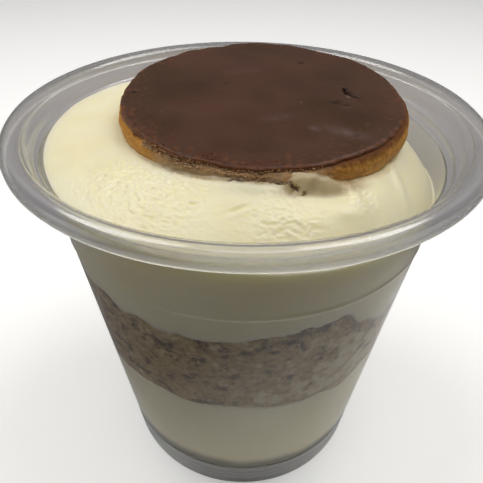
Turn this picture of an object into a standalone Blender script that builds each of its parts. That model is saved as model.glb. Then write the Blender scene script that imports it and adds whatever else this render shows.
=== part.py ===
# Layered cheesecake in a clear takeaway cup, topped with a chocolate-coated biscuit.
# Metres, +Z up. The origin is the middle of the cup's foot, on the surface that it stands on.
# -Y is the front of the cup.

import math

import bpy

# Cup: its wall, floor and rolled rim are one thin sheet, and a hollow skirt under the floor is its foot
CUP_HEIGHT = 0.088
RIM_RADIUS = 0.0475
RIM_DEPTH = 0.00365
RIM_ROLL = 0.0020
SHEET = 0.0005
SHOULDER_HEIGHT = 0.0809
SHOULDER_RADIUS = 0.0404
FOOT_RADIUS = 0.02965
LEDGE_HEIGHT = 0.0829
LEDGE_STEP = 0.0010
RING_HEIGHT = 0.0673
RING_DEPTH = 0.0002
FLOOR_HEIGHT = 0.0087
FLOOR_THICKNESS = 0.0006
FLOOR_CORNER = 0.0026
FOOT_WIDTH = 0.0012
FOOT_RIM_HEIGHT = 0.0010
FOOT_ROUND = 0.0004

# Layers of the dessert: mean heights at the wall, above the foot
GAP = 0.0003
CRUMB_BOTTOM = 0.0376
CRUMB_TOP = 0.0607
CREAM_EDGE = 0.0790
CREAM_CROWN = 0.0862

# The dome of cream falls away with this power of the radius, steeper at the right than at the left
CROWN_POWER = 4.4
CROWN_STEEPER = 1.8

# Ripples of the cream's edge and crown: how many round the cup, half their height, and the direction
# of a crest in degrees from +X towards +Y
CREAM_EDGE_RIPPLES = ((1, 0.00436, 172), (2, 0.0007, -58))
CREAM_CROWN_RIPPLES = ((1, 0.0007, -95), (2, 0.0004, 90))

# The crumbs' uneven edges at the wall: direction in degrees, and height
CRUMB_BOTTOM_EDGE = (
    (-160, 0.0370), (-146, 0.0366), (-131, 0.0379), (-120, 0.0385), (-110, 0.0376), (-92, 0.0387),
    (-74, 0.0376), (-62, 0.0381), (-54, 0.0370), (-42, 0.0396), (-18, 0.0378), (20, 0.0370),
    (60, 0.0384), (100, 0.0372), (140, 0.0382),
)
CRUMB_TOP_EDGE = (
    (-168, 0.0600), (-150, 0.0622), (-134, 0.0627), (-127, 0.0604), (-121, 0.0615), (-114, 0.0599),
    (-108, 0.0606), (-103, 0.0600), (-95, 0.0605), (-84, 0.0618), (-77, 0.0622), (-73, 0.0634),
    (-69, 0.0628), (-61, 0.0638), (-55, 0.0592), (-44, 0.0558), (-25, 0.0590), (6, 0.0612),
    (38, 0.0590), (75, 0.0616), (105, 0.0600), (128, 0.0592), (160, 0.0612),
)

# The cream is pressed down beside the biscuit: direction from the biscuit's middle in degrees, and
# the cream's height at its side
CONTACT = (
    (-160, 0.0846), (-140, 0.0851), (-120, 0.0856), (-104, 0.0863), (-90, 0.0857), (-74, 0.0856),
    (-60, 0.0846), (-44, 0.0836), (-15, 0.0833), (20, 0.0838), (60, 0.0856), (100, 0.0864), (150, 0.0852),
)
CONTACT_REACH = 0.0036

# Cream dragged up the front right of the biscuit: where it starts, is full, ends and is gone, in
# degrees from the biscuit's middle, and how far out and how high it goes
SMEAR = (-87, -80, -74, -61)
SMEAR_REACH = 0.0031
SMEAR_HEIGHT = 0.0020

# Biscuit and its chocolate top, measured from the middle of the chocolate's upper face
TOPPING_PLACE = (0.0029, 0.0031, 0.0903)
TOPPING_LEAN = math.radians(3.9)
CHOCOLATE_RADIUS = 0.0281
CHOCOLATE_THICKNESS = 0.0010
CHOCOLATE_CROWN = 0.0003
BISCUIT_RADIUS = 0.02925
BISCUIT_OFFSET = 0.0004
BISCUIT_THICKNESS = 0.0067

# Ripples of the outlines: how many round, their size as a share of the radius, and a crest in degrees
BISCUIT_RIPPLES = ((2, 0.006, -11), (5, 0.004, -25))
CHOCOLATE_RIPPLES = ((2, 0.003, -11), (9, 0.004, -5), (13, 0.004, -11))

# How finely the round pieces are divided
CUP_SEGMENTS = 60
BISCUIT_SEGMENTS = 48

WALL_SLOPE = (SHOULDER_RADIUS - FOOT_RADIUS) / SHOULDER_HEIGHT
BLOCK_RADIUS = 0.0425
BLOCK_TOP = 0.0920
BLOCK_BOTTOM = 0.0500
SEAT_TOP = 0.0020


def clear_scene():
    for item in list(bpy.data.objects):
        bpy.data.objects.remove(item)


def new_collection(name):
    collection = bpy.data.collections.new(name)
    bpy.context.scene.collection.children.link(collection)
    return collection


def new_material(name, colour, roughness, transmission=0.0, ior=1.45):
    material = bpy.data.materials.new(name)
    material.use_nodes = True
    shader = material.node_tree.nodes["Principled BSDF"]
    shader.inputs["Base Color"].default_value = (*colour, 1.0)
    shader.inputs["Roughness"].default_value = roughness
    shader.inputs["Metallic"].default_value = 0.0
    shader.inputs["Transmission Weight"].default_value = transmission
    shader.inputs["IOR"].default_value = ior
    return material


def arc(centre, radius, start, end, steps):
    """Points of an arc in the profile plane, angles in degrees from +X towards +Z."""
    points = []
    for step in range(steps + 1):
        angle = math.radians(start + (end - start) * step / steps)
        points.append((centre[0] + radius * math.cos(angle), centre[1] + radius * math.sin(angle)))
    return points


def offset_line(points, distance):
    """The line moved sideways, to the right of the way it runs, with mitred corners."""
    normals = []
    for (x0, z0), (x1, z1) in zip(points, points[1:]):
        length = math.hypot(x1 - x0, z1 - z0)
        normals.append(((z1 - z0) / length, (x0 - x1) / length))
    moved = []
    for index, (x, z) in enumerate(points):
        before = normals[max(index - 1, 0)]
        after = normals[min(index, len(normals) - 1)]
        share = distance / (1 + before[0] * after[0] + before[1] * after[1])
        moved.append((x + share * (before[0] + after[0]), z + share * (before[1] + after[1])))
    return moved


def turned(name, profile, segments, collection):
    """A profile of (radius, height) points with a Screw modifier round the Z axis."""
    mesh = bpy.data.meshes.new(name)
    edges = [(index, index + 1) for index in range(len(profile) - 1)]
    mesh.from_pydata([(radius, 0.0, height) for radius, height in profile], edges, [])
    piece = bpy.data.objects.new(name, mesh)
    collection.objects.link(piece)
    screw = piece.modifiers.new("turn", "SCREW")
    screw.steps = segments
    screw.render_steps = segments
    screw.use_merge_vertices = True
    screw.merge_threshold = 0.00001
    return piece


def reshape(piece, move):
    """Fixes the turned form as a mesh and moves each of its points by a function."""
    graph = bpy.context.evaluated_depsgraph_get()
    mesh = bpy.data.meshes.new_from_object(piece.evaluated_get(graph))
    piece.modifiers.clear()
    piece.data = mesh
    for vertex in mesh.vertices:
        vertex.co = move(vertex.co)


def finish(piece, material):
    piece.data.materials.clear()
    piece.data.materials.append(material)
    piece.data.shade_smooth()


def as_cutter(piece):
    piece.hide_render = True
    piece.display_type = "WIRE"


def combine(piece, cutter, operation):
    boolean = piece.modifiers.new(operation.lower(), "BOOLEAN")
    boolean.operation = operation
    boolean.solver = "EXACT"
    boolean.object = cutter


def wall_radius(height):
    """Inner face of the plain tapered wall, below the shoulder."""
    return FOOT_RADIUS + WALL_SLOPE * height - SHEET


def bore_line():
    """Inner face of the wall, going up: a faint ring, two stacking ledges and the flare to the lip."""
    shoulder = wall_radius(SHOULDER_HEIGHT)
    lip = RIM_RADIUS - 2 * RIM_ROLL
    return [
        (wall_radius(RING_HEIGHT - 0.0006), RING_HEIGHT - 0.0006),
        (wall_radius(RING_HEIGHT) + RING_DEPTH, RING_HEIGHT),
        (wall_radius(RING_HEIGHT + 0.0006), RING_HEIGHT + 0.0006),
        (shoulder, SHOULDER_HEIGHT),
        (shoulder + LEDGE_STEP, SHOULDER_HEIGHT + 0.0003),
        (shoulder + 1.2 * LEDGE_STEP, LEDGE_HEIGHT - 0.0002),
        (shoulder + 2.1 * LEDGE_STEP, LEDGE_HEIGHT + 0.0002),
        (lip - 0.0009, LEDGE_HEIGHT + 0.0018),
    ]


def rim_line():
    """Upper face of the rolled rim, from the lip over the crest and down to the tip."""
    middle = (RIM_RADIUS - RIM_ROLL, CUP_HEIGHT - RIM_ROLL)
    tip = CUP_HEIGHT - RIM_DEPTH
    return arc(middle, RIM_ROLL, 180, 0, 8) + [(RIM_RADIUS - 0.0001, tip + 0.0006), (RIM_RADIUS - 0.0005, tip)]


def floor_line():
    """Upper face of the floor, from the middle into its rounded corner at the wall."""
    corner = (wall_radius(FLOOR_HEIGHT + FLOOR_CORNER) - FLOOR_CORNER, FLOOR_HEIGHT + FLOOR_CORNER)
    return [(0.0, FLOOR_HEIGHT)] + arc(corner, FLOOR_CORNER, -90, -8, 3)


def foot_line():
    """Hollow foot under the floor, from the outer wall round the standing ring to the middle."""
    inside = FOOT_RADIUS - FOOT_WIDTH
    ceiling = FLOOR_HEIGHT - FLOOR_THICKNESS
    return [
        (FOOT_RADIUS + WALL_SLOPE * 2 * FOOT_ROUND, 2 * FOOT_ROUND),
        (FOOT_RADIUS - 0.3 * FOOT_ROUND, 0.4 * FOOT_ROUND),
        (FOOT_RADIUS - FOOT_ROUND, 0.0),
        (inside, 0.0),
        (inside, FOOT_RIM_HEIGHT),
        (wall_radius(2 * FOOT_RIM_HEIGHT), 2 * FOOT_RIM_HEIGHT),
        (wall_radius(ceiling) - 0.0004, ceiling),
        (0.0, ceiling),
    ]


def make_cup(collection):
    sheet = bore_line() + rim_line()
    outside = offset_line(sheet, SHEET)
    profile = floor_line() + sheet + outside[::-1] + foot_line()
    cup = turned("cup", profile, CUP_SEGMENTS, collection)
    finish(cup, new_material("clear_plastic", (0.93, 0.95, 0.94), 0.06, transmission=1.0, ior=1.5))


def rippled(angle, ripples):
    return sum(size * math.cos(count * (angle - math.radians(crest))) for count, size, crest in ripples)


def blend_step(value, low, high):
    """Runs smoothly from 0 to 1 between two limits."""
    share = min(1.0, max(0.0, (value - low) / (high - low)))
    return share * share * (3 - 2 * share)


def around(angle, stops):
    """A value given at some directions, smooth in between and right round."""
    turn = math.degrees(angle)
    first, low = stops[-1][0] - 360, stops[-1][1]
    for last, high in stops + ((stops[0][0] + 360, stops[0][1]),):
        if first <= turn <= last:
            return low + (high - low) * blend_step(turn, first, last)
        first, low = last, high
    return low


def boundary(level, edge, x, y):
    """Height of an uneven surface between layers: level in the middle, with its own edge at the wall."""
    share = math.hypot(x, y) / wall_radius(level)
    return level + (around(math.atan2(y, x), edge) - level) * share**3


def make_layer(name, profile, low, high, collection):
    """A turned layer whose lower and upper rows follow wavy surfaces and whose side follows the wall."""
    layer = turned(name, profile, CUP_SEGMENTS, collection)
    top = max(height for _, height in profile)
    bottom = min(height for _, height in profile)

    def fit(point):
        place = point.copy()
        share = math.hypot(point.x, point.y) / (wall_radius(point.z) - GAP)
        upper = (point.z - bottom) / (top - bottom)
        for _ in range(4):
            rise = upper * (high(place.x, place.y) - top) if high else 0.0
            fall = (1 - upper) * (low(place.x, place.y) - bottom) if low else 0.0
            place.z = point.z + rise + fall
            if share > 0:
                scale = share * (wall_radius(place.z) - GAP) / math.hypot(point.x, point.y)
                place.x = point.x * scale
                place.y = point.y * scale
        return place

    reshape(layer, fit)
    return layer


def side_point(height, share=1.0):
    return (share * (wall_radius(height) - GAP), height)


def make_cream_lower(material, collection):
    bottom = FLOOR_HEIGHT + GAP
    top = CRUMB_BOTTOM - GAP
    corner = (side_point(bottom + FLOOR_CORNER)[0] - FLOOR_CORNER, bottom + FLOOR_CORNER)
    profile = [(0.0, top), side_point(top, 0.5), side_point(top, 0.85), side_point(top)]
    profile += arc(corner, FLOOR_CORNER, 0, -90, 3) + [(0.0, bottom)]
    layer = make_layer("cream_lower", profile, None, lambda x, y: crumb_bottom(x, y) - GAP, collection)
    finish(layer, material)


def crumb_bottom(x, y):
    return boundary(CRUMB_BOTTOM, CRUMB_BOTTOM_EDGE, x, y)


def crumb_top(x, y):
    return boundary(CRUMB_TOP, CRUMB_TOP_EDGE, x, y)


def make_crumb_layer(collection):
    profile = [(0.0, CRUMB_TOP)]
    profile += [side_point(CRUMB_TOP, share) for share in (0.4, 0.65, 0.85, 1.0)]
    profile += [side_point(CRUMB_BOTTOM, share) for share in (1.0, 0.85, 0.5)]
    profile += [(0.0, CRUMB_BOTTOM)]
    layer = make_layer("crumb_layer", profile, crumb_bottom, crumb_top, collection)
    finish(layer, new_material("biscuit_crumb", (0.30, 0.17, 0.08), 0.85))


def cream_edge(angle):
    """Height of the cream at the wall: high at the back left, low at the right."""
    return CREAM_EDGE + rippled(angle, CREAM_EDGE_RIPPLES)


def smear_rise(way, beside):
    """Height of the cream dragged up the biscuit's side, by direction and distance from that side."""
    start, full, end, gone = SMEAR
    turn = math.degrees(way)
    across = blend_step(turn, start, full) * (1 - blend_step(turn, end, gone))
    return SMEAR_HEIGHT * across * (1 - blend_step(beside, -0.0002, SMEAR_REACH))


def cream_surface(x, y):
    """Height of the domed cream: lower beside the biscuit, then ever steeper down to the wall."""
    angle = math.atan2(y, x)
    edge = cream_edge(angle)
    share = math.hypot(x, y) / (wall_radius(edge) - GAP)
    fall = share ** (CROWN_POWER + CROWN_STEEPER * math.cos(angle))
    crown = CREAM_CROWN + rippled(angle, CREAM_CROWN_RIPPLES)
    height = edge + (crown - edge) * (1 - fall)
    dx = x - TOPPING_PLACE[0] - BISCUIT_OFFSET
    dy = y - TOPPING_PLACE[1]
    way = math.atan2(dy, dx)
    beside = math.hypot(dx, dy) - BISCUIT_RADIUS
    pressed = min(height, around(way, CONTACT))
    height = pressed + (height - pressed) * blend_step(beside, -0.0006, CONTACT_REACH)
    return height + smear_rise(way, beside)


def make_cream_bore(cutters):
    """Room inside the cup, a gap clear of its wall and ledges, closed above the rim."""
    line = [(wall_radius(BLOCK_BOTTOM), BLOCK_BOTTOM)] + bore_line() + rim_line()[:2]
    clear = offset_line(line, -GAP)
    top = (clear[-1][0], BLOCK_TOP)
    profile = [(0.0, BLOCK_TOP), top] + clear[::-1] + [(0.0, clear[0][1])]
    bore = turned("cream_bore", profile, CUP_SEGMENTS, cutters)
    as_cutter(bore)
    return bore


def make_cream_upper(material, seat, collection, cutters):
    """A block with the cream's own top and bottom surfaces, trimmed by the cup's bore and the biscuit."""
    shares = (0.0, 0.3, 0.5, 0.62, 0.66, 0.70, 0.745, 0.8, 0.87, 0.94, 1.0)
    profile = [(share * BLOCK_RADIUS, BLOCK_TOP) for share in shares]
    profile += [(share * BLOCK_RADIUS, CRUMB_TOP) for share in (1.0, 0.87, 0.74, 0.6, 0.4, 0.0)]
    block = turned("cream_upper", profile, CUP_SEGMENTS, collection)

    def fit(point):
        place = point.copy()
        if point.z > (BLOCK_TOP + CRUMB_TOP) / 2:
            place.z = cream_surface(point.x, point.y)
        else:
            place.z = crumb_top(point.x, point.y) + GAP
        return place

    reshape(block, fit)
    finish(block, material)
    combine(block, make_cream_bore(cutters), "INTERSECT")
    combine(block, seat, "DIFFERENCE")


def biscuit_profile(clearance=0.0):
    """The biscuit's section: a flat top, a bulging side and an underside that curves in."""
    top = -CHOCOLATE_THICKNESS - GAP
    radius = BISCUIT_RADIUS
    depth = BISCUIT_THICKNESS
    line = [
        (radius - 0.0017, top),
        (radius - 0.0006, top - 0.10 * depth),
        (radius, top - 0.38 * depth),
        (radius - 0.0004, top - 0.60 * depth),
        (radius - 0.0017, top - 0.80 * depth),
        (radius - 0.0042, top - 0.94 * depth),
        (radius - 0.0080, top - depth),
        (0.0, top - depth),
    ]
    line = offset_line(line, -clearance)
    return [(0.0, line[0][1])] + line[:-1] + [(0.0, line[-1][1])]


def make_round(name, profile, ripples, lean, middle, collection):
    """A disc with a slightly uneven outline, placed on the leaning empty."""
    disc = turned(name, profile, BISCUIT_SEGMENTS, collection)

    def fit(point):
        scale = 1 + rippled(math.atan2(point.y, point.x), ripples)
        place = point.copy()
        place.x = point.x * scale + middle
        place.y = point.y * scale
        return place

    reshape(disc, fit)
    disc.parent = lean
    return disc


def make_biscuit(lean, collection):
    biscuit = make_round("biscuit", biscuit_profile(), BISCUIT_RIPPLES, lean, BISCUIT_OFFSET, collection)
    finish(biscuit, new_material("baked_biscuit", (0.55, 0.27, 0.07), 0.7))


def make_seat(lean, cutters):
    """The hollow that the biscuit has pressed in the cream, open above it."""
    wide = BISCUIT_RADIUS + GAP
    profile = [(0.0, SEAT_TOP), (wide, SEAT_TOP)] + biscuit_profile(GAP)[3:]
    seat = make_round("biscuit_seat", profile, BISCUIT_RIPPLES, lean, BISCUIT_OFFSET, cutters)
    as_cutter(seat)
    return seat


def make_chocolate(lean, collection):
    radius = CHOCOLATE_RADIUS
    depth = CHOCOLATE_THICKNESS
    profile = [
        (0.0, CHOCOLATE_CROWN),
        (0.6 * radius, 0.8 * CHOCOLATE_CROWN),
        (radius - 0.0009, 0.0),
        (radius - 0.0002, -0.08 * depth),
        (radius, -0.4 * depth),
        (radius - 0.0004, -0.8 * depth),
        (radius - 0.0010, -depth),
        (0.0, -depth),
    ]
    chocolate = make_round("chocolate_top", profile, CHOCOLATE_RIPPLES, lean, 0.0, collection)
    finish(chocolate, new_material("dark_chocolate", (0.055, 0.026, 0.017), 0.35))


def main():
    clear_scene()
    parts = new_collection("cheesecake_pot")
    cutters = new_collection("cutters")
    lean = bpy.data.objects.new("topping_lean", None)
    lean.location = TOPPING_PLACE
    lean.rotation_euler = (TOPPING_LEAN, 0.0, 0.0)
    parts.objects.link(lean)
    cream = new_material("cheesecake_cream", (0.83, 0.74, 0.50), 0.45)
    make_cup(parts)
    make_cream_lower(cream, parts)
    make_crumb_layer(parts)
    seat = make_seat(lean, cutters)
    make_cream_upper(cream, seat, parts, cutters)
    make_biscuit(lean, parts)
    make_chocolate(lean, parts)


main()
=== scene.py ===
import math
import random

import bmesh
import bpy
from mathutils import Matrix, Vector, noise


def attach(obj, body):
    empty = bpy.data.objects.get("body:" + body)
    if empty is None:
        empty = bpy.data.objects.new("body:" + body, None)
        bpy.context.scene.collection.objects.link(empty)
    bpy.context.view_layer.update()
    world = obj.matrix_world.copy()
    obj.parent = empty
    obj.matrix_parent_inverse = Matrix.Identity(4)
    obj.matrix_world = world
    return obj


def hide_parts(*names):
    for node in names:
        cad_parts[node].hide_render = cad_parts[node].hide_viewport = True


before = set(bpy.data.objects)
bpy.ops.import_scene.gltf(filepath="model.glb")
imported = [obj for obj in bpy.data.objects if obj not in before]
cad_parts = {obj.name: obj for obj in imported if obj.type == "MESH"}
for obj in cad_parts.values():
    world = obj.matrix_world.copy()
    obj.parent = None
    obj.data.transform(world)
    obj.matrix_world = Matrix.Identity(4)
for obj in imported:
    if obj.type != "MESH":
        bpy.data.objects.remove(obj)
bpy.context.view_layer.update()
print("frame loaded with", len(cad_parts), "nodes")


# Camera: in front of the cup and above it, looking down at the chocolate
cameraView = {
    "place": (-0.000801, -0.101619, 0.130497),
    "right": (0.99989609, 0.00861431, 0.01155909),
    "up": (-0.01441592, 0.59749308, 0.80174447),
    "lens": 39.60,
    "sensor": 36.0,
}


def addCamera(view):
    data = bpy.data.cameras.new("viewCamera")
    data.lens = view["lens"]
    data.sensor_width = view["sensor"]
    data.sensor_height = view["sensor"]
    data.clip_start = 0.001
    camera = bpy.data.objects.new("viewCamera", data)
    right = Vector(view["right"]).normalized()
    up = Vector(view["up"]).normalized()
    back = right.cross(up)
    turn = Matrix((right, up, back)).transposed().to_4x4()
    camera.matrix_world = Matrix.Translation(view["place"]) @ turn
    bpy.context.scene.collection.objects.link(camera)
    bpy.context.scene.camera = camera


addCamera(cameraView)
print("camera placed")


# Tools for the materials and the light
def spread(tree, source, low, high, newLow=0.0, newHigh=1.0):
    # Stretches a value between two limits to a new range
    stretch = tree.nodes.new("ShaderNodeMapRange")
    stretch.inputs["From Min"].default_value = low
    stretch.inputs["From Max"].default_value = high
    stretch.inputs["To Min"].default_value = newLow
    stretch.inputs["To Max"].default_value = newHigh
    tree.links.new(source, stretch.inputs["Value"])
    return stretch.outputs["Result"]


def blendColours(tree, share, first, second):
    # first and second are colours or the outputs of other nodes
    mix = tree.nodes.new("ShaderNodeMix")
    mix.data_type = "RGBA"
    tree.links.new(share, mix.inputs["Factor"])
    for socket, value in ((mix.inputs[6], first), (mix.inputs[7], second)):
        if isinstance(value, tuple):
            socket.default_value = (*value, 1.0)
        else:
            tree.links.new(value, socket)
    return mix.outputs[2]


def mixShaders(tree, share, first, second, output="Material Output"):
    mix = tree.nodes.new("ShaderNodeMixShader")
    tree.links.new(share, mix.inputs["Fac"])
    tree.links.new(first, mix.inputs[1])
    tree.links.new(second, mix.inputs[2])
    tree.links.new(mix.outputs["Shader"], tree.nodes[output].inputs["Surface"])


def attributeValue(tree, name):
    # A value that the mesh carries at its points
    reader = tree.nodes.new("ShaderNodeAttribute")
    reader.attribute_name = name
    return reader.outputs["Fac"]


def noisePattern(tree, scale, detail):
    place = tree.nodes.new("ShaderNodeTexCoord")
    pattern = tree.nodes.new("ShaderNodeTexNoise")
    pattern.inputs["Scale"].default_value = scale
    pattern.inputs["Detail"].default_value = detail
    tree.links.new(place.outputs["Object"], pattern.inputs["Vector"])
    return pattern.outputs["Fac"]


# Light: two soft lamps above the pot, weak ones over its front and low at its sides, and dim surroundings
lighting = {
    # place, size and power
    "lamps": (
        ((-0.29, 0.07, 0.58), 0.38, 1.60),
        ((0.28, 0.07, 0.60), 0.38, 1.70),
        ((0.03, -0.12, 0.62), 0.30, 0.46),
        ((0.36, -0.12, 0.04), 0.22, 0.09),
        ((-0.36, -0.14, 0.05), 0.25, 0.14),
    ),
    "lampColour": (1.0, 0.985, 0.96),
    "lampAim": (0.0, 0.0, 0.06),
    # what lights the pot is dim at the front and brighter behind it, with this range in between
    "frontGlow": (0.035, 0.035, 0.033),
    "backGlow": (0.17, 0.165, 0.17),
    "glowRange": (-0.4, 0.6),
    "backdrop": (1.0, 1.0, 1.0),
    "floorSize": 6.0,
    "floorSeen": (0.92, 0.92, 0.91),
    "floorRoughness": 0.9,
    "floorGlow": 0.30,
    # the floor that lights the pot is darkest beside it, lighter behind it and lightest at its foot
    "floorBounce": (0.230, 0.226, 0.238),
    "backBounce": (0.50, 0.47, 0.46),
    "backStart": (0.10, 0.24),
    "nearBounce": (0.86, 0.86, 0.87),
    "nearPlace": (0.029, -0.004, 0.0),
    "nearReach": (0.052, 0.080),
}


def addLamp(place, size, power, light):
    data = bpy.data.lights.new("softLamp", "AREA")
    data.shape = "DISK"
    data.size = size
    data.energy = power
    data.color = light["lampColour"]
    lamp = bpy.data.objects.new("softLamp", data)
    lamp.location = place
    aim = Vector(light["lampAim"]) - Vector(place)
    lamp.rotation_euler = aim.to_track_quat("-Z", "Y").to_euler()
    bpy.context.scene.collection.objects.link(lamp)


def addSurroundings(light):
    world = bpy.data.worlds.new("surroundings")
    world.use_nodes = True
    bpy.context.scene.world = world
    tree = world.node_tree
    seen = tree.nodes["Background"]
    seen.inputs["Color"].default_value = (*light["backdrop"], 1.0)
    lit = tree.nodes.new("ShaderNodeBackground")
    place = tree.nodes.new("ShaderNodeTexCoord")
    parts = tree.nodes.new("ShaderNodeSeparateXYZ")
    tree.links.new(place.outputs["Generated"], parts.inputs["Vector"])
    behind = spread(tree, parts.outputs["Y"], *light["glowRange"])
    tree.links.new(blendColours(tree, behind, light["frontGlow"], light["backGlow"]), lit.inputs["Color"])
    path = tree.nodes.new("ShaderNodeLightPath")
    cameraRay = path.outputs["Is Camera Ray"]
    mixShaders(tree, cameraRay, lit.outputs["Background"], seen.outputs["Background"], "World Output")


def addFloor(light):
    shape = bmesh.new()
    bmesh.ops.create_grid(shape, x_segments=1, y_segments=1, size=light["floorSize"] / 2)
    mesh = bpy.data.meshes.new("studioFloor")
    shape.to_mesh(mesh)
    shape.free()
    floor = bpy.data.objects.new("studioFloor", mesh)
    bpy.context.scene.collection.objects.link(floor)
    material = bpy.data.materials.new("studioFloor")
    material.use_nodes = True
    tree = material.node_tree
    seen = tree.nodes["Principled BSDF"]
    seen.inputs["Base Color"].default_value = (*light["floorSeen"], 1.0)
    seen.inputs["Roughness"].default_value = light["floorRoughness"]
    seen.inputs["Specular IOR Level"].default_value = 0.0
    seen.inputs["Emission Color"].default_value = (1.0, 1.0, 1.0, 1.0)
    seen.inputs["Emission Strength"].default_value = light["floorGlow"]
    bounce = tree.nodes.new("ShaderNodeBsdfDiffuse")
    place = tree.nodes.new("ShaderNodeTexCoord")
    parts = tree.nodes.new("ShaderNodeSeparateXYZ")
    tree.links.new(place.outputs["Object"], parts.inputs["Vector"])
    away = tree.nodes.new("ShaderNodeVectorMath")
    away.operation = "DISTANCE"
    away.inputs[1].default_value = light["nearPlace"]
    tree.links.new(place.outputs["Object"], away.inputs[0])
    behind = spread(tree, parts.outputs["Y"], *light["backStart"])
    far = blendColours(tree, behind, light["floorBounce"], light["backBounce"])
    fade = spread(tree, away.outputs["Value"], *light["nearReach"])
    tree.links.new(blendColours(tree, fade, light["nearBounce"], far), bounce.inputs["Color"])
    path = tree.nodes.new("ShaderNodeLightPath")
    mixShaders(tree, path.outputs["Is Camera Ray"], bounce.outputs["BSDF"], seen.outputs["BSDF"])
    mesh.materials.append(material)


bpy.context.scene.view_settings.view_transform = "Standard"
for lampValues in lighting["lamps"]:
    addLamp(*lampValues, lighting)
addSurroundings(lighting)
addFloor(lighting)
print("light and floor placed")


# Tools that the pieces share
def turnedShape(profile, segments):
    # A line of (radius, height) points, turned an eighth of the way round the cup's axis and
    # then copied round to a closed form, which is much faster than one full turn
    shape = bmesh.new()
    points = [shape.verts.new((radius, 0.0, height)) for radius, height in profile]
    edges = [shape.edges.new(pair) for pair in zip(points, points[1:])]
    bmesh.ops.spin(
        shape, geom=points + edges, cent=(0, 0, 0), axis=(0, 0, 1), angle=math.tau / 8, steps=segments // 8
    )
    for turn in (math.tau / 8, math.tau / 4, math.tau / 2):
        everything = shape.verts[:] + shape.edges[:] + shape.faces[:]
        copied = bmesh.ops.duplicate(shape, geom=everything)["geom"]
        corners = [item for item in copied if isinstance(item, bmesh.types.BMVert)]
        bmesh.ops.rotate(shape, verts=corners, cent=(0, 0, 0), matrix=Matrix.Rotation(turn, 3, "Z"))
    bmesh.ops.remove_doubles(shape, verts=shape.verts, dist=1e-6)
    bmesh.ops.recalc_face_normals(shape, faces=shape.faces)
    return shape


def movePoints(shape, move):
    for vert in shape.verts:
        vert.co = move(vert.co)


def addPiece(name, shape, material, nodes):
    mesh = bpy.data.meshes.new(name)
    shape.to_mesh(mesh)
    shape.free()
    mesh.materials.append(material)
    mesh.shade_smooth()
    piece = bpy.data.objects.new(name, mesh)
    bpy.context.scene.collection.objects.link(piece)
    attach(piece, "root")
    if nodes:
        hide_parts(*nodes)
    print("made", name, "with", len(mesh.polygons), "faces")


def arcPoints(centre, radius, start, end, steps):
    points = []
    for step in range(steps + 1):
        angle = math.radians(start + (end - start) * step / steps)
        points.append((centre[0] + radius * math.cos(angle), centre[1] + radius * math.sin(angle)))
    return points


def softCorners(points, reach):
    # Each corner of a line becomes a short curve that starts and ends at this distance from it
    line = [points[0]]
    for before, corner, after in zip(points, points[1:], points[2:]):
        here = Vector(corner)
        toBefore = Vector(before) - here
        toAfter = Vector(after) - here
        first = here + toBefore.normalized() * min(reach, 0.45 * toBefore.length)
        last = here + toAfter.normalized() * min(reach, 0.45 * toAfter.length)
        for step in range(5):
            share = step / 4
            point = first * (1 - share) ** 2 + here * 2 * share * (1 - share) + last * share**2
            line.append(tuple(point))
    return line + [points[-1]]


def divided(points, longest):
    # Long straight stretches of a line get points in between
    line = [points[0]]
    for first, last in zip(points, points[1:]):
        parts = max(1, math.ceil((Vector(last) - Vector(first)).length / longest))
        for part in range(1, parts + 1):
            line.append(tuple(Vector(first).lerp(Vector(last), part / parts)))
    return line


def sidewaysLine(points, distance):
    # The line moved to the right of the way it runs
    moved = []
    for index, point in enumerate(points):
        before = Vector(points[max(index - 1, 0)])
        after = Vector(points[min(index + 1, len(points) - 1)])
        along = (after - before).normalized()
        moved.append((point[0] + distance * along.y, point[1] - distance * along.x))
    return moved


def blendStep(value, low, high):
    share = min(1.0, max(0.0, (value - low) / (high - low)))
    return share * share * (3 - 2 * share)


def window(value, start, full, end, gone):
    # Rises from 0 at start to 1 at full, and falls from 1 at end to 0 at gone
    return blendStep(value, start, full) * (1 - blendStep(value, end, gone))


def rippled(angle, ripples):
    return sum(size * math.cos(count * (angle - math.radians(crest))) for count, size, crest in ripples)


def aroundValue(angle, stops):
    # A value given at some directions in degrees, smooth in between and right round the axis
    turn = math.degrees(angle)
    first, low = stops[-1][0] - 360, stops[-1][1]
    for last, high in stops + ((stops[0][0] + 360, stops[0][1]),):
        if turn <= last:
            break
        first, low = last, high
    return low + (high - low) * blendStep(turn, first, last)


def roughNoise(x, y, z, size):
    # Smooth noise from -1 to 1 with lumps of about this size
    return noise.noise(Vector((x / size, y / size, z / size)))


def squaredFar(x, y, spotX, spotY, radius):
    # Squared distance from the middle of a round spot, 1 at its radius
    return ((x - spotX) ** 2 + (y - spotY) ** 2) / radius**2


def stretchedFar(x, y, spotX, spotY, heading, length, width):
    # The same for a long spot that points in this direction
    turn = math.radians(heading)
    dx = x - spotX
    dy = y - spotY
    along = (dx * math.cos(turn) + dy * math.sin(turn)) / length
    across = (dy * math.cos(turn) - dx * math.sin(turn)) / width
    return along * along + across * across


# Materials: one group of patches and grain serves all the food
foodPattern = {
    "patchDetail": 3.0,
    "grainDetail": 4.0,
    "grainRoughness": 0.65,
}


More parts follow.
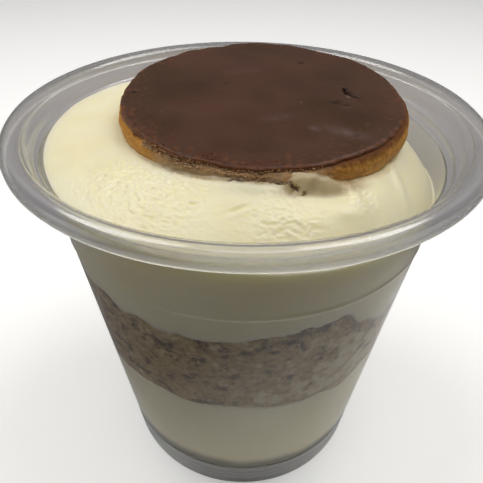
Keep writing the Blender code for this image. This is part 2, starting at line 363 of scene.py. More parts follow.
def makeGrainGroup(pattern):
    group = bpy.data.node_groups.new("patchesAndGrain", "ShaderNodeTree")
    group.interface.new_socket("Vector", in_out="INPUT", socket_type="NodeSocketVector")
    for name in ("Patch Size", "Grain Size", "Grain Share"):
        group.interface.new_socket(name, in_out="INPUT", socket_type="NodeSocketFloat")
    for name in ("Patches", "Both"):
        group.interface.new_socket(name, in_out="OUTPUT", socket_type="NodeSocketFloat")
    entry = group.nodes.new("NodeGroupInput")
    result = group.nodes.new("NodeGroupOutput")
    patches = group.nodes.new("ShaderNodeTexNoise")
    patches.inputs["Detail"].default_value = pattern["patchDetail"]
    grain = group.nodes.new("ShaderNodeTexNoise")
    grain.inputs["Detail"].default_value = pattern["grainDetail"]
    grain.inputs["Roughness"].default_value = pattern["grainRoughness"]
    both = group.nodes.new("ShaderNodeMix")
    group.links.new(entry.outputs["Vector"], patches.inputs["Vector"])
    group.links.new(entry.outputs["Vector"], grain.inputs["Vector"])
    group.links.new(entry.outputs["Patch Size"], patches.inputs["Scale"])
    group.links.new(entry.outputs["Grain Size"], grain.inputs["Scale"])
    group.links.new(entry.outputs["Grain Share"], both.inputs["Factor"])
    group.links.new(patches.outputs["Fac"], both.inputs["A"])
    group.links.new(grain.outputs["Fac"], both.inputs["B"])
    group.links.new(patches.outputs["Fac"], result.inputs["Patches"])
    group.links.new(both.outputs["Result"], result.inputs["Both"])
    return group


grainGroup = makeGrainGroup(foodPattern)


def newFinish(name, look):
    # A material with its shader and the shared grain already in place
    material = bpy.data.materials.new(name)
    material.use_nodes = True
    tree = material.node_tree
    place = tree.nodes.new("ShaderNodeTexCoord")
    grain = tree.nodes.new("ShaderNodeGroup")
    grain.node_tree = grainGroup
    grain.inputs["Patch Size"].default_value = look["patchSize"]
    grain.inputs["Grain Size"].default_value = look["grainSize"]
    grain.inputs["Grain Share"].default_value = look["grainShare"]
    tree.links.new(place.outputs["Object"], grain.inputs["Vector"])
    return material, tree, tree.nodes["Principled BSDF"], grain


def addBump(tree, shader, height, distance):
    bump = tree.nodes.new("ShaderNodeBump")
    bump.inputs["Distance"].default_value = distance
    tree.links.new(height, bump.inputs["Height"])
    tree.links.new(bump.outputs["Normal"], shader.inputs["Normal"])


creamFinish = {
    "colour": (0.90, 0.818, 0.525),
    "paleColour": (0.925, 0.862, 0.60),
    # cream mixed with biscuit, also used as painted shade in the hollow in front of the smear
    "stainAndShadeColour": (0.37, 0.255, 0.125),
    # painted shade in the crack
    "crackShadeColour": (0.085, 0.040, 0.014),
    # painted shade on the rounded corner at the foot of the lower layer
    "cornerShadeColour": (0.16, 0.150, 0.095),
    # the stain at which the cream turns from mixed with biscuit to the dark of the crack
    "mixedMost": 0.7,
    "roughness": 0.42,
    "wetRoughness": 0.29,
    "patchSize": 90.0,
    "patchRange": (0.35, 0.65),
    "grainSize": 2300.0,
    "grainShare": 0.55,
    "bump": 0.00005,
    "softness": 0.55,
    "softReach": (0.0060, 0.0060, 0.0030),
}


def makeCreamFinish(look):
    # The attribute stain runs from clean cream at 0 over cream mixed with biscuit to the dark of
    # the crack at 1; the colour of cream mixed with biscuit is also painted shade in the hollow in front of
    # the smear, and the dark of the crack is painted shade. The attribute dim paints shade on the dark line
    # round the foot of the lower layer, and the attribute wet runs from satin cream to shiny curdled cream
    material, tree, shader, grain = newFinish("cheesecakeCream", look)
    patch = spread(tree, grain.outputs["Patches"], *look["patchRange"])
    clean = blendColours(tree, patch, look["colour"], look["paleColour"])
    stainAndShade = attributeValue(tree, "stainAndShade")
    # cream mixed with biscuit, which also paints shade in the hollow, and then the painted shade of the crack
    mixed = blendColours(tree, spread(tree, stainAndShade, 0.0, look["mixedMost"]), clean, look["stainAndShadeColour"])
    stained = blendColours(tree, spread(tree, stainAndShade, look["mixedMost"], 1.0), mixed, look["crackShadeColour"])
    colour = blendColours(tree, attributeValue(tree, "dim"), stained, look["cornerShadeColour"])
    tree.links.new(colour, shader.inputs["Base Color"])
    rough = spread(tree, attributeValue(tree, "wet"), 0.0, 1.0, look["roughness"], look["wetRoughness"])
    tree.links.new(rough, shader.inputs["Roughness"])
    shader.inputs["Subsurface Weight"].default_value = look["softness"]
    shader.inputs["Subsurface Radius"].default_value = look["softReach"]
    shader.inputs["Subsurface Scale"].default_value = 1.0
    addBump(tree, shader, grain.outputs["Both"], look["bump"])
    return material


crumbFinish = {
    "darkColour": (0.100, 0.058, 0.022),
    "colour": (0.47, 0.324, 0.134),
    "creamyColour": (0.66, 0.58, 0.38),
    "brownTones": (0.0, 0.5),
    "creamyTones": (0.55, 1.0),
    "roughness": 0.62,
    "patchSize": 850.0,
    "grainSize": 2600.0,
    "grainShare": 0.40,
    "grainRange": (0.3, 0.7),
    "jitter": 0.40,
    "bump": 0.00035,
}


def makeCrumbFinish(look):
    # The attribute crumbTone runs from dark crumbs at 0 to crumbs smeared with cream at 1
    material, tree, shader, grain = newFinish("biscuitCrumb", look)
    shader.inputs["Roughness"].default_value = look["roughness"]
    jitter = spread(tree, grain.outputs["Both"], *look["grainRange"], -look["jitter"], look["jitter"])
    jittered = tree.nodes.new("ShaderNodeMath")
    jittered.operation = "ADD"
    tree.links.new(attributeValue(tree, "crumbTone"), jittered.inputs[0])
    tree.links.new(jitter, jittered.inputs[1])
    tone = jittered.outputs["Value"]
    base = blendColours(tree, spread(tree, tone, *look["brownTones"]), look["darkColour"], look["colour"])
    colour = blendColours(tree, spread(tree, tone, *look["creamyTones"]), base, look["creamyColour"])
    tree.links.new(colour, shader.inputs["Base Color"])
    addBump(tree, shader, grain.outputs["Both"], look["bump"])
    return material


biscuitFinish = {
    # dark upper edge, also painted shade on the front of the side
    "darkColour": (0.145, 0.050, 0.011),
    "colour": (0.47, 0.184, 0.026),
    "paleColour": (0.76, 0.40, 0.094),
    # cream film, also used as painted bounce light low on the side
    "smearColour": (0.83, 0.65, 0.42),
    "roughness": 0.72,
    "specular": 0.22,
    "patchSize": 420.0,
    "grainSize": 1900.0,
    "grainShare": 0.60,
    "grainRange": (0.36, 0.64),
    "bump": 0.00030,
}


def makeBiscuitFinish(look):
    # The attribute baked runs from golden biscuit at 0 to its dark upper edge at 1, and also paints shade
    # on the front of the side; the attribute smeared runs from bare biscuit at 0 to biscuit under a film of
    # cream at 1, and also paints bounce light on the lower part of the side
    material, tree, shader, grain = newFinish("bakedBiscuit", look)
    shader.inputs["Roughness"].default_value = look["roughness"]
    shader.inputs["Specular IOR Level"].default_value = look["specular"]
    patch = spread(tree, grain.outputs["Both"], *look["grainRange"])
    body = blendColours(tree, patch, look["colour"], look["paleColour"])
    bare = blendColours(tree, attributeValue(tree, "baked"), body, look["darkColour"])
    colour = blendColours(tree, attributeValue(tree, "smeared"), bare, look["smearColour"])
    tree.links.new(colour, shader.inputs["Base Color"])
    addBump(tree, shader, grain.outputs["Both"], look["bump"])
    return material


chocolateFinish = {
    "colour": (0.049, 0.022, 0.009),
    "redColour": (0.076, 0.029, 0.017),
    "dustyColour": (0.082, 0.038, 0.021),
    "bloomColour": (0.20, 0.15, 0.145),
    # painted shade at the bottom of the pits
    "pitShadeColour": (0.010, 0.004, 0.003),
    "edgeColour": (0.16, 0.056, 0.020),
    "redSize": 42.0,
    "redDetail": 2.0,
    "redRange": (0.42, 0.60),
    "dustRange": (0.40, 0.75),
    "specular": 0.24,
    "roughness": (0.36, 0.50),
    "patchSize": 90.0,
    "patchRange": (0.35, 0.65),
    "grainSize": 2100.0,
    "grainShare": 0.50,
    "bump": 0.00009,
}


def makeChocolateFinish(look):
    # The attribute bloom runs from clean chocolate at 0 to pale dusty chocolate at 1, the
    # attribute pit from the open face at 0 to the bottom of a hole at 1, where it paints shade, and the
    # attribute edge from the face at 0 to the crumbed side at 1
    material, tree, shader, grain = newFinish("darkChocolate", look)
    red = spread(tree, noisePattern(tree, look["redSize"], look["redDetail"]), *look["redRange"])
    ground = blendColours(tree, red, look["colour"], look["redColour"])
    dust = spread(tree, grain.outputs["Both"], *look["dustRange"])
    dusty = blendColours(tree, dust, ground, look["dustyColour"])
    pale = blendColours(tree, attributeValue(tree, "bloom"), dusty, look["bloomColour"])
    pit = attributeValue(tree, "pit")
    # painted shade in the pits
    holed = blendColours(tree, pit, pale, look["pitShadeColour"])
    colour = blendColours(tree, attributeValue(tree, "edge"), holed, look["edgeColour"])
    tree.links.new(colour, shader.inputs["Base Color"])
    shine = spread(tree, pit, 0.0, 1.0, look["specular"], 0.0)
    tree.links.new(shine, shader.inputs["Specular IOR Level"])
    rough = spread(tree, grain.outputs["Patches"], *look["patchRange"], *look["roughness"])
    tree.links.new(rough, shader.inputs["Roughness"])
    addBump(tree, shader, grain.outputs["Both"], look["bump"])
    return material


plasticFinish = {
    "colour": (0.97, 0.97, 0.965),
    "clearness": 0.95,
    "ior": 1.50,
    "waveSize": 60.0,
    "waveDetail": 1.5,
    "waveBump": 0.00006,
    "shade": (0.93, 0.93, 0.92),
}


def makePlasticFinish(look):
    # The attribute frost is the roughness
    material = bpy.data.materials.new("clearPlastic")
    material.use_nodes = True
    tree = material.node_tree
    shader = tree.nodes["Principled BSDF"]
    shader.inputs["Base Color"].default_value = (*look["colour"], 1.0)
    shader.inputs["Transmission Weight"].default_value = look["clearness"]
    shader.inputs["IOR"].default_value = look["ior"]
    tree.links.new(attributeValue(tree, "frost"), shader.inputs["Roughness"])
    addBump(tree, shader, noisePattern(tree, look["waveSize"], look["waveDetail"]), look["waveBump"])
    # Light passes straight through the thin sheet to the food
    clear = tree.nodes.new("ShaderNodeBsdfTransparent")
    clear.inputs["Color"].default_value = (*look["shade"], 1.0)
    path = tree.nodes.new("ShaderNodeLightPath")
    either = tree.nodes.new("ShaderNodeMath")
    either.operation = "MAXIMUM"
    tree.links.new(path.outputs["Is Shadow Ray"], either.inputs[0])
    tree.links.new(path.outputs["Is Diffuse Ray"], either.inputs[1])
    mixShaders(tree, either.outputs["Value"], shader.outputs["BSDF"], clear.outputs["BSDF"])
    return material


cream = makeCreamFinish(creamFinish)
crumb = makeCrumbFinish(crumbFinish)
baked = makeBiscuitFinish(biscuitFinish)
chocolate = makeChocolateFinish(chocolateFinish)
plastic = makePlasticFinish(plasticFinish)
print("finishes made")


# Cup: one thin sheet from the floor to the rolled rim, and a hollow foot
cupShape = {
    "height": 0.088,
    "rimRadius": 0.0475,
    "rimDepth": 0.00365,
    "rimRoll": 0.0020,
    # the rim's tip: distances in from its radius, and up from its lower edge
    "rimTip": ((0.0001, 0.0006), (0.0005, 0.0)),
    "sheet": 0.0005,
    "shoulderHeight": 0.0809,
    "shoulderRadius": 0.0404,
    "footRadius": 0.02965,
    "shoulderRise": 0.0003,
    "ledgeHeight": 0.0829,
    "ledgeStep": 0.0010,
    "ledgeRise": 0.0002,
    # the flare ends this far in from the lip and this high over the ledge
    "flare": (0.0009, 0.0018),
    "ringHeight": 0.0673,
    "ringHalf": 0.0006,
    "ringDepth": 0.00020,
    "floorHeight": 0.0087,
    "floorThickness": 0.0006,
    "floorCorner": 0.0026,
    "ceilingCorner": 0.0004,
    "footWidth": 0.0012,
    "footRimHeight": 0.0010,
    "footRound": 0.0004,
    "footSoftening": 0.0002,
    "footRidges": 4,
    "footRidgeDepth": 0.00012,
    "footRidgeReach": 0.0005,
    # roughness of the sheet, and where it is rougher: two radii, two heights and the roughness
    "frost": 0.04,
    "frosted": (
        (0.0, 0.0450, 0.0, 0.0092, 0.34),
        (0.0, 0.0430, 0.0806, 0.0850, 0.14),
        (0.0430, 0.0480, 0.0800, 0.0900, 0.12),
        (0.0464, 0.0480, 0.0800, 0.0868, 0.24),
        (0.0464, 0.0480, 0.0800, 0.0854, 0.46),
    ),
    "softening": 0.00045,
    "longestStep": 0.003,
    "segments": 240,
}

wallSlope = (cupShape["shoulderRadius"] - cupShape["footRadius"]) / cupShape["shoulderHeight"]


def wallRadius(height):
    # Inner face of the plain tapered wall
    return cupShape["footRadius"] + wallSlope * height - cupShape["sheet"]


def cupProfile(cup):
    ring = cup["ringHeight"]
    shoulder = wallRadius(cup["shoulderHeight"])
    step = cup["ledgeStep"]
    ledge = cup["ledgeHeight"]
    lip = cup["rimRadius"] - 2 * cup["rimRoll"]
    tip = cup["height"] - cup["rimDepth"]
    floorLevel = cup["floorHeight"]
    corner = cup["floorCorner"]
    wall = [
        (wallRadius(floorLevel + 1.5 * corner), floorLevel + 1.5 * corner),
        (wallRadius(ring - cup["ringHalf"]), ring - cup["ringHalf"]),
        (wallRadius(ring) + cup["ringDepth"], ring),
        (wallRadius(ring + cup["ringHalf"]), ring + cup["ringHalf"]),
        (shoulder, cup["shoulderHeight"]),
        (shoulder + step, cup["shoulderHeight"] + cup["shoulderRise"]),
        (shoulder + 1.2 * step, ledge - cup["ledgeRise"]),
        (shoulder + 2.1 * step, ledge + cup["ledgeRise"]),
        (lip - cup["flare"][0], ledge + cup["flare"][1]),
    ]
    rim = arcPoints((lip + cup["rimRoll"], cup["height"] - cup["rimRoll"]), cup["rimRoll"], 180, 0, 24)
    rim += [(cup["rimRadius"] - inward, tip + rise) for inward, rise in cup["rimTip"]]
    sheet = divided(softCorners(wall + rim[:1], cup["softening"])[:-1], cup["longestStep"]) + rim
    outside = sidewaysLine(sheet, cup["sheet"])
    base = [(0.0, floorLevel), (wallRadius(floorLevel + corner) - corner, floorLevel)]
    base += arcPoints((wallRadius(floorLevel + corner) - corner, floorLevel + corner), corner, -80, -4, 10)
    inside = cup["footRadius"] - cup["footWidth"]
    ceiling = floorLevel - cup["floorThickness"]
    rounding = cup["footRound"]
    foot = []
    for ridge in range(cup["footRidges"], 0, -1):
        level = ridge * floorLevel / (cup["footRidges"] + 1)
        wide = cup["footRadius"] + wallSlope * level
        reach = cup["footRidgeReach"]
        foot += [(wide, level + reach), (wide + cup["footRidgeDepth"], level), (wide, level - reach)]
    foot += [
        (cup["footRadius"] + wallSlope * 2 * rounding, 2 * rounding),
        (cup["footRadius"] - 0.3 * rounding, 0.4 * rounding),
        (cup["footRadius"] - rounding, 0.0),
        (inside, 0.0),
        (inside, cup["footRimHeight"]),
        (wallRadius(2 * cup["footRimHeight"]), 2 * cup["footRimHeight"]),
        (wallRadius(ceiling) - cup["ceilingCorner"], ceiling),
        (0.0, ceiling),
    ]
    foot = divided(softCorners(foot, cup["footSoftening"]), cup["longestStep"])
    return base + sheet + outside[::-1] + foot


def makeCup(cup):
    shape = turnedShape(cupProfile(cup), cup["segments"])
    frost = shape.verts.layers.float.new("frost")
    for vert in shape.verts:
        radius = math.hypot(vert.co.x, vert.co.y)
        vert[frost] = cup["frost"]
        for inner, outer, low, high, rough in cup["frosted"]:
            if inner <= radius <= outer and low <= vert.co.z <= high:
                vert[frost] = rough
    addPiece("clearCup", shape, plastic, ["cup"])


makeCup(cupShape)


# Layers: where the cream and the crumbs meet
layers = {
    # how far they go into the wall
    "reach": 0.0003,
    "crumbBottom": 0.0376,
    "crumbTop": 0.0607,
    # direction in degrees and height of each layer's edge at the wall
    "bottomEdge": (
        (-160, 0.0370), (-146, 0.0366), (-131, 0.0379), (-120, 0.0385), (-110, 0.0376), (-92, 0.0387),
        (-74, 0.0376), (-62, 0.0381), (-54, 0.0370), (-42, 0.0396), (-18, 0.0378), (20, 0.0370),
        (60, 0.0384), (100, 0.0372), (140, 0.0382),
    ),
    "topEdge": (
        (-168, 0.0600), (-150, 0.0622), (-134, 0.0627), (-127, 0.0604), (-121, 0.0615), (-114, 0.0599),
        (-108, 0.0606), (-103, 0.0600), (-95, 0.0605), (-84, 0.0618), (-77, 0.0622), (-73, 0.0634),
        (-69, 0.0628), (-61, 0.0638), (-55, 0.0592), (-44, 0.0558), (-25, 0.0590), (6, 0.0612),
        (38, 0.0590), (75, 0.0616), (105, 0.0600), (128, 0.0592), (160, 0.0612),
    ),
    "ragged": 0.00028,
    "raggedSize": 0.0024,
    "segments": 600,
}


def ragged(angle, level):
    # Small bites in a layer's edge, different for each level
    radius = wallRadius(level)
    x = radius * math.cos(angle)
    y = radius * math.sin(angle)
    size = layers["raggedSize"]
    coarse = roughNoise(x, y, level * 7, size)
    fine = roughNoise(x, y, level * 13, size / 2.7)
    finest = roughNoise(x, y, level * 19, size / 6)
    return layers["ragged"] * (1.3 * coarse + 0.8 * fine + 0.4 * finest)


def crumbFoot(angle):
    return aroundValue(angle, layers["bottomEdge"]) + ragged(angle, layers["crumbBottom"])


def crumbRoof(angle):
    return aroundValue(angle, layers["topEdge"]) + ragged(angle, layers["crumbTop"])


def between(level, edge, co, radius):
    # Height of a surface between layers, at a point of a drum whose 1 stands for this radius:
    # level in the middle, uneven at the wall
    x = co.x * radius
    y = co.y * radius
    share = min(1.0, math.hypot(x, y) / wallRadius(level))
    return level + (edge(math.atan2(y, x)) - level) * share**3


def toWall(co, height, share):
    # The point at this height, at a share of the way from the axis to just inside the wall
    radius = math.hypot(co.x, co.y)
    if radius < 1e-6:
        return Vector((0.0, 0.0, height))
    scale = share * (wallRadius(height) + layers["reach"]) / radius
    return Vector((co.x * scale, co.y * scale, height))


def drumProfile(rings, rows):
    # Top and side of a drum of radius 1 and height 1, from the middle of its top
    profile = [(ring / rings, 1.0) for ring in range(rings + 1)]
    return profile + [(1.0, 1.0 - row / rows) for row in range(1, rows + 1)]


lowerCream = {
    "sideRows": 24,
    "topRings": 10,
    "cornerSteps": 10,
    # radius that the drum's 1 stands for at its top
    "topRadius": 0.035,
    # painted shade in the rounded corner at the foot of the layer: heights between which
    # the bottom edge turns dark, lower at the right by this slope
    "cornerShadeEdge": (0.0104, 0.0144),
    "cornerShadeSlope": 0.02,
    "cornerShadeUneven": 0.0008,
    "cornerShadeUnevenSize": 0.006,
    "cornerShadeMost": 0.92,
}


def makeLowerCream(settings):
    # Radius 1 is the wall, and the height counts from 0 over the rounded corner to 1 at the crumbs,
    # and down to -1 at the floor
    corner = cupShape["floorCorner"]
    low = cupShape["floorHeight"] - layers["reach"]
    profile = drumProfile(settings["topRings"], settings["sideRows"])
    roundness = corner / wallRadius(low)
    for step in range(1, settings["cornerSteps"] + 1):
        turn = math.radians(90 * step / settings["cornerSteps"])
        profile.append((1.0 - roundness * (1 - math.cos(turn)), -math.sin(turn)))
    profile.append((0.0, -1.0))
    shape = turnedShape(profile, layers["segments"] // 2)

    def settle(co):
        share = math.hypot(co.x, co.y)
        floorCorner = low + corner
        if co.z < 0:
            return toWall(co, floorCorner + corner * co.z, share)
        top = between(layers["crumbBottom"], crumbFoot, co, settings["topRadius"])
        return toWall(co, floorCorner + co.z * (top - floorCorner), share)

    movePoints(shape, settle)
    # Painted shade along the rounded corner at the foot of the layer, where the cream curves away from the
    # wall
    dim = shape.verts.layers.float.new("dim")
    for vert in shape.verts:
        uneven = settings["cornerShadeUneven"] * roughNoise(vert.co.x, vert.co.y, 0.2, settings["cornerShadeUnevenSize"])
        level = vert.co.z + uneven + settings["cornerShadeSlope"] * vert.co.x
        vert[dim] = settings["cornerShadeMost"] * (1 - blendStep(level, *settings["cornerShadeEdge"]))
    addPiece("creamLowerFill", shape, cream, ["cream_lower"])


makeLowerCream(lowerCream)


# Crumbs: a body with pits at the wall, darkened with painted shade, and loose grains pressed against the wall
crumbBed = {
    "sideRows": 64,
    "rings": 8,
    # radius that the drum's 1 stands for
    "radius": 0.036,
    "pitSize": 0.0029,
    "pitDepth": 0.00022,
    "pitStart": 0.12,
    "pitSoftness": 0.42,
    # more pits towards the top: how many more, and between which heights
    "pitsHigher": 0.16,
    "pitHeights": (0.046, 0.060),
    # tone of the crumbs from place to place, and the painted shade that darkens them in the pits
    "tone": (0.30, 0.64),
    "toneSize": 0.0013,
    "pitPaintedShade": 0.80,
    # size and strength of the lighter and darker areas
    "shadeSize": 0.0046,
    "shadeMost": 0.16,
    # painted shade in a dark strip of the crumbs under the cream's edge: directions in degrees, shares of the
    # height, darkness
    "paintedShadeStrip": (-82, -74, -58, -50),
    "paintedShadeStripHeights": (0.82, 0.96),
    "paintedShadeStripDarkness": 0.75,
    # direction in degrees, height, half width in degrees and half height of the cream smears,
    # sizes of the noise that breaks them up, and range of their soft edge
    "smears": (
        (-73, 0.0432, 8, 0.0034), (-62, 0.0465, 8, 0.0042), (-55, 0.0520, 7, 0.0050),
        (-81, 0.0412, 6, 0.0022), (-50, 0.0440, 9, 0.0044), (-64, 0.0410, 8, 0.0024),
        (-46, 0.0500, 4, 0.0034), (60, 0.0440, 8, 0.0030), (150, 0.0470, 7, 0.0026),
    ),
    "smearSizes": (0.0026, 0.0010),
    "smearEdge": (0.15, 1.2),
    "smearTone": 0.98,
}


def crumbPit(x, y, z):
    # Depth of the pits at a place on the wall, from 0 to 1
    size = crumbBed["pitSize"]
    value = roughNoise(x, y, z, size) + 0.45 * roughNoise(x, y, z + 1, size / 2.2)
    higher = crumbBed["pitsHigher"] * blendStep(z, *crumbBed["pitHeights"])
    return blendStep(value + higher, crumbBed["pitStart"], crumbBed["pitStart"] + crumbBed["pitSoftness"])


def creamSmeared(x, y, z):
    # How much cream is smeared over the crumbs at a place on the wall, from 0 to 1
    angle = math.atan2(y, x)
    most = 0.0
    for place, height, width, tall in crumbBed["smears"]:
        turn = math.remainder(angle - math.radians(place), math.tau) / math.radians(width)
        rise = (z - height) / tall
        most = max(most, 1.25 - turn * turn - rise * rise)
    coarse, fine = crumbBed["smearSizes"]
    broken = 1.1 * roughNoise(x, y, z, coarse) + 0.5 * roughNoise(x, y, z, fine)
    return blendStep(min(most, 0.9) + broken, *crumbBed["smearEdge"]) if most > -0.8 else 0.0


def crumbShade(x, y, z):
    # Broad lighter and darker areas of the crumbs, around 0
    return crumbBed["shadeMost"] * roughNoise(x, y, z + 0.5, crumbBed["shadeSize"])


def makeCrumbBed(settings):
    rings = settings["rings"]
    profile = drumProfile(rings, settings["sideRows"])
    profile += [(1.0 - ring / rings, 0.0) for ring in range(1, rings + 1)]
    shape = turnedShape(profile, layers["segments"])
    tone = shape.verts.layers.float.new("crumbTone")
    for vert in shape.verts:
        co = vert.co
        share = math.hypot(co.x, co.y)
        roof = between(layers["crumbTop"], crumbRoof, co, settings["radius"])
        foot = between(layers["crumbBottom"], crumbFoot, co, settings["radius"])
        flat = toWall(co, foot + co.z * (roof - foot), share)
        if share > 0.99:
            smeared = creamSmeared(*flat)
            pit = crumbPit(*flat) * (1 - smeared)
            inward = 1 - settings["pitDepth"] * pit / wallRadius(flat.z)
            flat.x *= inward
            flat.y *= inward
            patch = 0.5 + 0.5 * roughNoise(*flat, settings["toneSize"])
            # painted shade under the cream's edge
            paintedShadeStrip = window(math.degrees(math.atan2(flat.y, flat.x)), *settings["paintedShadeStrip"])
            patch -= settings["paintedShadeStripDarkness"] * blendStep(co.z, *settings["paintedShadeStripHeights"]) * paintedShadeStrip
            dark, light = settings["tone"]
            plain = dark + (light - dark) * patch + crumbShade(*flat)
            # painted shade in the pits between the crumbs
            plain *= 1 - settings["pitPaintedShade"] * pit
            vert[tone] = plain + (settings["smearTone"] - plain) * smeared
        vert.co = flat
    addPiece("crumbBed", shape, crumb, ["crumb_layer"])


makeCrumbBed(crumbBed)


crumbGrains = {
    "count": 6500,
    "size": (0.00016, 0.00062),
    "flatness": 0.40,
    "stretch": (0.7, 1.3),
    "uneven": 0.30,
    "sink": 0.00006,
    # furthest past the layer's own face, into the wall
    "past": 0.00003,
    # distance kept from the layer's edges
    "margin": 0.0002,
    # share of the grains left out in the pits
    "fewerInPits": 0.75,
    # middle and spread of the tone, its most, and what a smear of cream adds
    "tone": (0.47, 0.26),
    "toneMost": 0.72,
    "smearTone": 0.3,
    "seed": 11,
}


def grainCloud(count, *attributes):
    # One small ball of twenty faces, copied until there are as many as wanted
    shape = bmesh.new()
    for attribute in attributes:
        shape.verts.layers.float.new(attribute)
    bmesh.ops.create_icosphere(shape, subdivisions=1, radius=1.0)
    corners, sides, faces = len(shape.verts), len(shape.edges), len(shape.faces)
    made = 1
    while made < count:
        more = min(made, count - made)
        some = shape.verts[: more * corners] + shape.edges[: more * sides] + shape.faces[: more * faces]
        bmesh.ops.duplicate(shape, geom=some)
        for group in (shape.verts, shape.edges, shape.faces):
            group.ensure_lookup_table()
        made += more
    return shape, corners


def layGrain(corners, tone, place, size, value, pick, flatness=1.0):
    # Turns one ball into an uneven lump at its place, flattened along the way out from the axis
    outward = Vector((place.x, place.y, 0.0)).normalized()
    turn = outward.to_track_quat("X", "Z").to_matrix()
    spin = Matrix.Rotation(pick.uniform(0, math.tau), 3, "X")
    least, most = crumbGrains["stretch"]
    stretch = Matrix.Diagonal((flatness, pick.uniform(least, most), pick.uniform(least, most)))
    form = turn @ spin @ stretch * size
    for vert in corners:
        uneven = pick.uniform(1 - crumbGrains["uneven"], 1 + crumbGrains["uneven"])
        vert.co = place + form @ vert.co * uneven
        vert[tone] = value


def makeCrumbGrains(settings):
    pick = random.Random(settings["seed"])
    shape, corners = grainCloud(settings["count"], "crumbTone")
    tone = shape.verts.layers.float["crumbTone"]
    laid = 0
    while laid < settings["count"]:
        angle = pick.uniform(-math.pi, math.pi)
        height = pick.uniform(crumbFoot(angle) + settings["margin"], crumbRoof(angle) - settings["margin"])
        smallest, largest = settings["size"]
        size = smallest + (largest - smallest) * pick.random() ** 2
        radius = wallRadius(height) + layers["reach"] - settings["sink"] - settings["flatness"] * size
        place = Vector((radius * math.cos(angle), radius * math.sin(angle), height))
        smeared = creamSmeared(*place)
        if pick.random() < smeared or pick.random() < settings["fewerInPits"] * crumbPit(*place):
            continue
        value = pick.gauss(*settings["tone"]) + crumbShade(*place)
        value = min(settings["toneMost"], max(0.0, value)) + settings["smearTone"] * smeared
        lump = shape.verts[laid * corners:(laid + 1) * corners]
        layGrain(lump, tone, place, size, value, pick, settings["flatness"])
        for vert in lump:
            flat = math.hypot(vert.co.x, vert.co.y)
            limit = wallRadius(vert.co.z) + layers["reach"] + settings["past"]
            if flat > limit:
                vert.co.x *= limit / flat
                vert.co.y *= limit / flat
        laid += 1
    addPiece("crumbGrains", shape, crumb, [])


makeCrumbGrains(crumbGrains)


# Biscuit and chocolate: measured from the middle of the chocolate's upper face, leaning forward
topping = {
    "place": (0.0029, 0.0031, 0.0903),
    "lean": 3.9,
    "chocolateRadius": 0.0281,
    "chocolateThickness": 0.0010,
    "chocolateCrown": 0.0003,
    # distance in from its edge where the face starts to round down
    "chocolateRound": 0.0009,
    "chocolateRipples": ((2, 0.003, -11), (9, 0.004, -5), (13, 0.004, -11)),
    "biscuitRadius": 0.02925,
    "biscuitOffset": 0.0004,
    "biscuitThickness": 0.0067,
    "biscuitRipples": ((2, 0.006, -11), (5, 0.004, -25)),
    # the cream lies against its lower face from this far in, and goes into it by this much
    "seatStart": 0.0004,
    "seatOverlap": 0.0001,
    "segments": 480,
}

toppingTurn = Matrix.Translation(topping["place"]) @ Matrix.Rotation(math.radians(topping["lean"]), 4, "X")
toppingBack = toppingTurn.inverted()

# The biscuit's side: distance in from its widest radius, and share of its depth
biscuitSide = (
    (0.0011, 0.0), (0.0004, 0.08), (0.0, 0.38), (0.0004, 0.60), (0.0017, 0.80), (0.0042, 0.94), (0.0080, 1.0),
)


def biscuitUnderside(x, y):
    # World height of the biscuit's lower face above a place, or None beyond its side
    drop = topping["chocolateThickness"] + topping["biscuitThickness"]
    middle = toppingTurn @ Vector((0.0, 0.0, -drop))
    local = toppingBack @ Vector((x, y, middle.z))
    local.x -= topping["biscuitOffset"]
    wide = topping["biscuitRadius"] * (1 + rippled(math.atan2(local.y, local.x), topping["biscuitRipples"]))
    inward = wide - math.hypot(local.x, local.y)
    if inward < topping["seatStart"]:
        return None
    share = 1.0
    lower = biscuitSide[2:]
    for (nearIn, nearShare), (farIn, farShare) in zip(lower, lower[1:]):
        if inward < farIn:
            share = nearShare + (farShare - nearShare) * (inward - nearIn) / (farIn - nearIn)
            break
    depth = topping["chocolateThickness"] + share * topping["biscuitThickness"]
    lift = math.tan(math.radians(topping["lean"])) * local.y
    return topping["place"][2] - depth + lift + topping["seatOverlap"]


